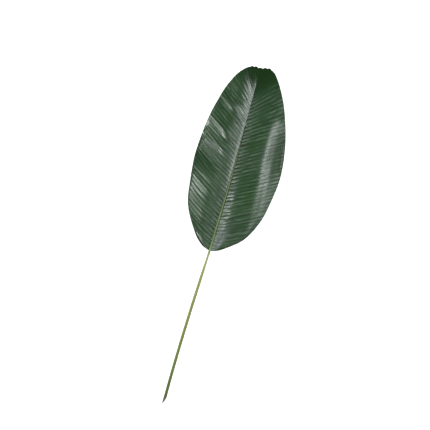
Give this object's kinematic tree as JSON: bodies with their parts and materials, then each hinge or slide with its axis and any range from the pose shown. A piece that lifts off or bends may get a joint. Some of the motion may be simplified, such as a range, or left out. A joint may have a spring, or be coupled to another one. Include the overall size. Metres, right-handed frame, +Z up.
{
  "type": "banana leaf",
  "caption": "Long oval banana leaf lying upper side up, with pleated side veins, a pale tapering midrib, a blunt scalloped tip and a slim cut stalk.",
  "frame": {"origin": "centre of the leaf's box at the level of the surface that the leaf lies on", "axes": "+Z up, away from the surface and out of the leaf's upper side; +Y along the leaf from the stalk's cut end to the blade's tip; +X to the right as seen from above"},
  "size_m": [0.2342, 0.9268, 0.036],
  "materials": {
    "leaf_green": "deep green waxy leaf skin with a satin sheen and fine parallel veins",
    "stalk_green": "smooth yellow-green plant stalk, satin"
  },
  "bodies": {
    "root": {"leaf_blade": "leaf_green", "leaf_stalk": "stalk_green"}
  },
  "joints": []
}
